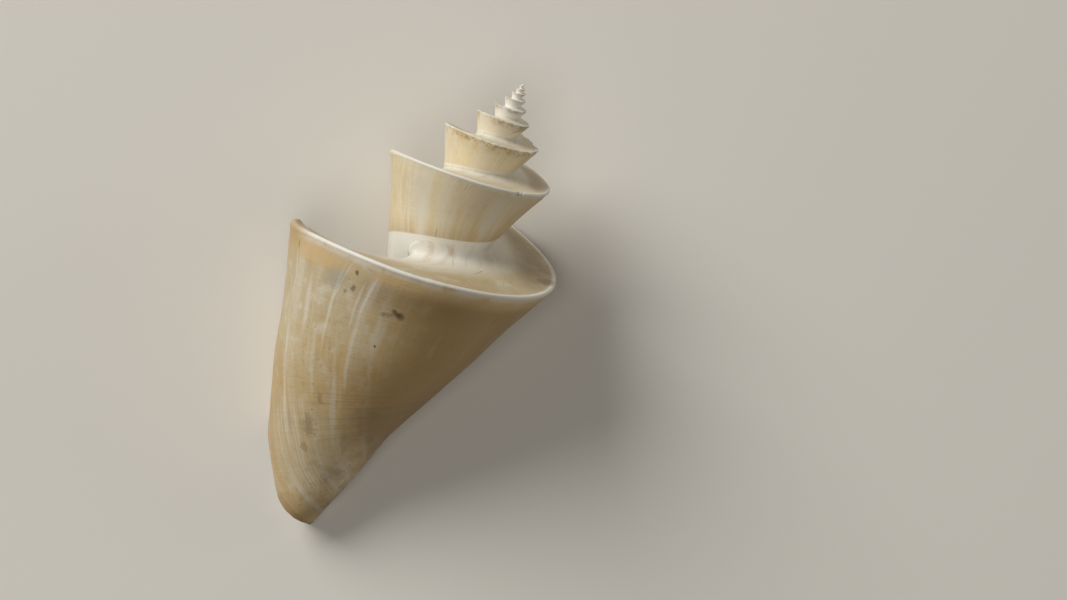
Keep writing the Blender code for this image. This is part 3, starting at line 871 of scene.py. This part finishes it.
# Relief too fine for the mesh: a value and the height in mm that it adds from its 0 to its 1.
FINE_RELIEF = [("hairs", 0.015), ("lines", 0.06), ("threads", 0.05), ("mottle", 0.08), ("grain", 0.02)]
RELIEF_TIMES = (-4.0, 0.5)   # it grows from nothing to all between these
GLAZED = (0.3, 0.7)          # how far inside the white glaze starts and is whole
ROUGH_OUTSIDE = 0.48
ROUGH_INSIDE = 0.22
ARAGONITE_IOR = 1.56


def unit_lengths(time, across):
    """Length in mm of a turn and of a unit of the profile, at a place in growth coordinates."""
    if across > 1:
        n = time + np.interp(across - 1, LINE_DEPTH, LINE_LEAD)
        return 2 * np.pi * wall(n, across - 1)[0], keel(n)[0]
    step = 0.01
    along = np.stack(ramp(time, across + step)) - ramp(time, across - step)
    return 2 * np.pi * ramp(time, across)[0], np.hypot(*along) / (2 * step)


def mark_share(tree, here, ragged, start, end, half_width, cover, roughness):
    """Where a mark lies: 0 outside an ellipse round the stroke, up to its cover inside. Along the stroke and
    across it, here, which is the growth coordinates and a 1, is turned into shares of the ellipse's half
    sizes by a dot product and made ragged; the two are squared and summed."""
    middle = (np.array(start) + end) / 2
    scale = np.array(unit_lengths(*middle))
    x, y = (np.array(end) - start) * scale
    length = np.hypot(x, y)
    half = np.array([length / 2 + half_width, half_width])
    rows = np.array([[x, y], [-y, x]]) / length * scale / half[:, None]
    squared = 0.0
    for row, offset, rough, side in zip(rows, -rows @ middle, 2 * roughness / half, ragged):
        inputs = {0: here, 1: (*row, offset)}
        reached = add(tree, "ShaderNodeVectorMath", inputs, operation="DOT_PRODUCT").outputs["Value"]
        inputs = {0: side, 1: rough, 2: reached}
        share = add(tree, "ShaderNodeMath", inputs, operation="MULTIPLY_ADD").outputs[0]
        inputs = {0: share, 1: share, 2: squared}
        squared = add(tree, "ShaderNodeMath", inputs, operation="MULTIPLY_ADD").outputs[0]
    inputs = {"Value": squared, "From Min": MARK_EDGE[1], "From Max": MARK_EDGE[0], "To Max": cover}
    return add(tree, "ShaderNodeMapRange", inputs, interpolation_type="SMOOTHSTEP").outputs[0]


def covers(tree, values, body):
    """Adds the nodes of each layer, each mark and the glaze, one after the other, and gives its colour's name
    and how much it covers."""
    for name, share, *masks in LAYERS:
        for value, low, high in masks:
            inputs = {"Value": values[value], "From Min": low, "From Max": high, "To Max": share}
            share = add(tree, "ShaderNodeMapRange", inputs, interpolation_type="SMOOTHSTEP").outputs[0]
        yield name, share

    inputs = {"Vector": body, "Scale": RAGGED_CELLS, "Detail": 2.0}
    inputs = {0: add(tree, "ShaderNodeTexNoise", inputs).outputs["Color"], 1: (0.5, 0.5, 0.5)}
    around_zero = add(tree, "ShaderNodeVectorMath", inputs, operation="SUBTRACT").outputs[0]
    ragged = add(tree, "ShaderNodeSeparateXYZ", {0: around_zero}).outputs[:2]
    here = add(tree, "ShaderNodeCombineXYZ", {0: values["time"], 1: values["across"], 2: 1.0}).outputs[0]
    for start, end, half_width, name, cover, roughness in MARKS:
        yield name, mark_share(tree, here, ragged, start, end, half_width, cover, roughness)

    inputs = {"Value": values["inside"], "From Min": GLAZED[0], "From Max": GLAZED[1]}
    yield "porcelain", add(tree, "ShaderNodeMapRange", inputs, interpolation_type="SMOOTHSTEP").outputs[0]


def aragonite(colours):
    """Aragonite laid down line by line at the lip: satin outside, rubbed by sand, and glazed white inside."""
    material = bpy.data.materials.new("aragonite shell")
    material.use_nodes = True
    tree = material.node_tree
    shader = tree.nodes["Principled BSDF"]
    growth = add(tree, "ShaderNodeUVMap", uv_map="growth").outputs[0]
    body = add(tree, "ShaderNodeTexCoord").outputs["Object"]
    split = add(tree, "ShaderNodeSeparateXYZ", {0: growth})
    values = {"time": split.outputs[0], "across": split.outputs[1]}
    for name in ("inside", "cord", "worn"):
        values[name] = add(tree, "ShaderNodeAttribute", attribute_name=name).outputs["Fac"]
    for name, (laid_on, cells, detail) in PATTERNS.items():
        inputs = {"Vector": {"growth": growth, "body": body}[laid_on], "Scale": cells}
        inputs = {"Vector": add(tree, "ShaderNodeMapping", inputs).outputs[0], "Scale": 1.0}
        inputs.update({"Detail": detail, "Roughness": NOISE_ROUGHNESS})
        values[name] = add(tree, "ShaderNodeTexNoise", inputs).outputs["Fac"]

    paint = (*colours.cream, 1)
    for name, share in covers(tree, values, body):
        inputs = {0: share, 6: paint, 7: (*getattr(colours, name), 1)}
        paint = add(tree, "ShaderNodeMix", inputs, data_type="RGBA").outputs[2]

    height = 0.0
    for name, millimetres in FINE_RELIEF:
        inputs = {0: values[name], 1: millimetres / 1000, 2: height}
        height = add(tree, "ShaderNodeMath", inputs, operation="MULTIPLY_ADD").outputs[0]
    strength = 1.0
    for name, (low, high) in (("inside", (1.0, 0.0)), ("time", RELIEF_TIMES)):
        inputs = {"Value": values[name], "From Min": low, "From Max": high, "To Max": strength}
        strength = add(tree, "ShaderNodeMapRange", inputs, interpolation_type="SMOOTHSTEP").outputs[0]
    bump = add(tree, "ShaderNodeBump", {"Height": height, "Distance": 1.0, "Strength": strength})
    inputs = {"Value": values["inside"], "To Min": ROUGH_OUTSIDE, "To Max": ROUGH_INSIDE}
    rough = add(tree, "ShaderNodeMapRange", inputs)
    tree.links.new(paint, shader.inputs["Base Color"])
    tree.links.new(rough.outputs[0], shader.inputs["Roughness"])
    tree.links.new(bump.outputs[0], shader.inputs["Normal"])
    shader.inputs["IOR"].default_value = ARAGONITE_IOR
    return material


def camera_axes():
    """The picture's right, down and forward directions and its eye, in the world. The shell is seen from its
    back, upright, then its apex leans towards the eye by the tilt and to the right by the roll."""
    tilt, roll = np.radians([TILT_DEG, ROLL_DEG])
    side = [[1, 0, 0], [0, -np.sin(tilt), -np.cos(tilt)], [0, np.cos(tilt), -np.sin(tilt)]]
    turn = [[np.cos(roll), -np.sin(roll), 0], [np.sin(roll), np.cos(roll), 0], [0, 0, 1]]
    axes = np.array(turn) @ side
    focus = LENS_MM / SENSOR_MM * PICTURE[0]
    depth = focus - MIDDLE_PIXELS * np.sin(tilt)
    apex = np.append((np.array(APEX_PIXEL) - np.array(PICTURE) / 2) / focus * depth, depth)
    eye = -axes.T @ apex * PIXEL_MM
    axes = lay_down(axes) - np.array(APEX_PLACE)
    return axes, lay_down(eye)


def place_camera(scene):
    """The camera of the photograph."""
    (right, down, forward), eye = camera_axes()
    data = bpy.data.cameras.new("photo_camera")
    data.lens, data.sensor_width, data.sensor_fit = LENS_MM, SENSOR_MM, "HORIZONTAL"
    data.clip_start, data.clip_end = CLIP_METRES
    camera = bpy.data.objects.new("photo_camera", data)
    matrix = np.eye(4)
    matrix[:3] = np.stack([right, -down, -forward, eye / 1000], 1)
    camera.matrix_world = Matrix(matrix)
    scene.collection.objects.link(camera)
    scene.camera = camera
    return camera


def place_light(scene, name, towards, width, watts):
    """A round light, seen from the shell in a direction given as right, down and forward in the picture."""
    direction = Vector(np.array(towards) @ camera_axes()[0]).normalized()
    data = bpy.data.lights.new(name + "_light", "AREA")
    data.shape, data.size, data.energy = "DISK", width, watts
    light = bpy.data.objects.new(name + "_light", data)
    turn = direction.to_track_quat("Z", "Y")
    light.matrix_world = Matrix.LocRotScale(direction * LIGHT_METRES, turn, None)
    scene.collection.objects.link(light)


class WONDERSHELL_OT_shell(bpy.types.Operator):
    """Grow the shell's fine surface and paint it"""

    bl_idname = "wondershell.shell"
    bl_label = "Grow Shell"

    def execute(self, context):
        settings = context.scene.wonder_shell_sizes, context.scene.wonder_shell_colours
        points, cells, places, cavity_end, values = shell_surface(settings[0])
        points = lay_down(points)
        points[:, 2] -= points[np.unique(cells), 2].min()
        mesh, used = mesh_from("fine_shell", points, cells, places, cavity_end)
        for name, value in values.items():
            attribute = mesh.attributes.new(name, "FLOAT", "POINT")
            attribute.data.foreach_set("value", value[used].astype(np.float32))
        mesh.materials.append(aragonite(settings[1]))
        piece = bpy.data.objects.new("fine_shell", mesh)
        context.scene.collection.objects.link(piece)
        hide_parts("shell")
        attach(piece, "root")
        return {"FINISHED"}


class WONDERSHELL_OT_stage(bpy.types.Operator):
    """Lay the floor and set up the lights and the camera"""

    bl_idname = "wondershell.stage"
    bl_label = "Set Stage"

    def execute(self, context):
        scene, settings = context.scene, context.scene.wonder_shell_stage
        half = FLOOR_METRES / 2
        corners = [(-half, -half, 0), (half, -half, 0), (half, half, 0), (-half, half, 0)]
        mesh = bpy.data.meshes.new("floor")
        mesh.from_pydata(corners, [], [(0, 1, 2, 3)])
        material = bpy.data.materials.new("matt painted board")
        material.use_nodes = True
        shader = material.node_tree.nodes["Principled BSDF"]
        shader.inputs["Base Color"].default_value = (*settings.floor, 1)
        shader.inputs["Roughness"].default_value = FLOOR_ROUGHNESS
        mesh.materials.append(material)
        floor = bpy.data.objects.new("floor", mesh)
        scene.collection.objects.link(floor)
        floor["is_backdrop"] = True
        for name, (towards, width) in LIGHTS.items():
            place_light(scene, name, towards, width, getattr(settings, name + "_watts"))
        world = bpy.data.worlds.new("sky")
        world.use_nodes = True
        world.node_tree.nodes["Background"].inputs["Color"].default_value = (*settings.sky_colour, 1)
        world.node_tree.nodes["Background"].inputs["Strength"].default_value = settings.sky
        scene.world = world
        scene.view_settings.view_transform = "Standard"
        place_camera(scene)
        return {"FINISHED"}


class WONDERSHELL_PT_panel(bpy.types.Panel):
    """The shell's sizes, colours, stage and operators"""

    bl_label = "Wonder Shell"
    bl_idname = "WONDERSHELL_PT_panel"
    bl_space_type = "VIEW_3D"
    bl_region_type = "UI"
    bl_category = "Wonder Shell"

    def draw(self, context):
        for group in GROUPS:
            box = self.layout.box()
            for name in GROUPS[group].__annotations__:
                box.prop(getattr(context.scene, group), name)
        for operator in (WONDERSHELL_OT_shell, WONDERSHELL_OT_stage):
            self.layout.operator(operator.bl_idname)


GROUPS = {
    "wonder_shell_sizes": ShellSizes,
    "wonder_shell_colours": ShellColours,
    "wonder_shell_stage": StageSettings,
}
CLASSES = [*GROUPS.values(), WONDERSHELL_OT_shell, WONDERSHELL_OT_stage, WONDERSHELL_PT_panel]


def register():
    """Registers the classes and hangs the property groups on the scene."""
    for each in CLASSES:
        bpy.utils.register_class(each)
    for name, group in GROUPS.items():
        setattr(bpy.types.Scene, name, bpy.props.PointerProperty(type=group))


def unregister():
    """Takes the property groups and classes away again."""
    for name in GROUPS:
        delattr(bpy.types.Scene, name)
    for each in reversed(CLASSES):
        bpy.utils.unregister_class(each)


def main():
    """Builds the scene."""
    register()
    bpy.ops.wondershell.shell()
    bpy.ops.wondershell.stage()
    boxes = {"solid": SOLID_BOX, "visual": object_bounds()}
    boxes = {name: [[float(v) for v in corner] for corner in box] for name, box in boxes.items()}


if __name__ == "__main__":
    main()
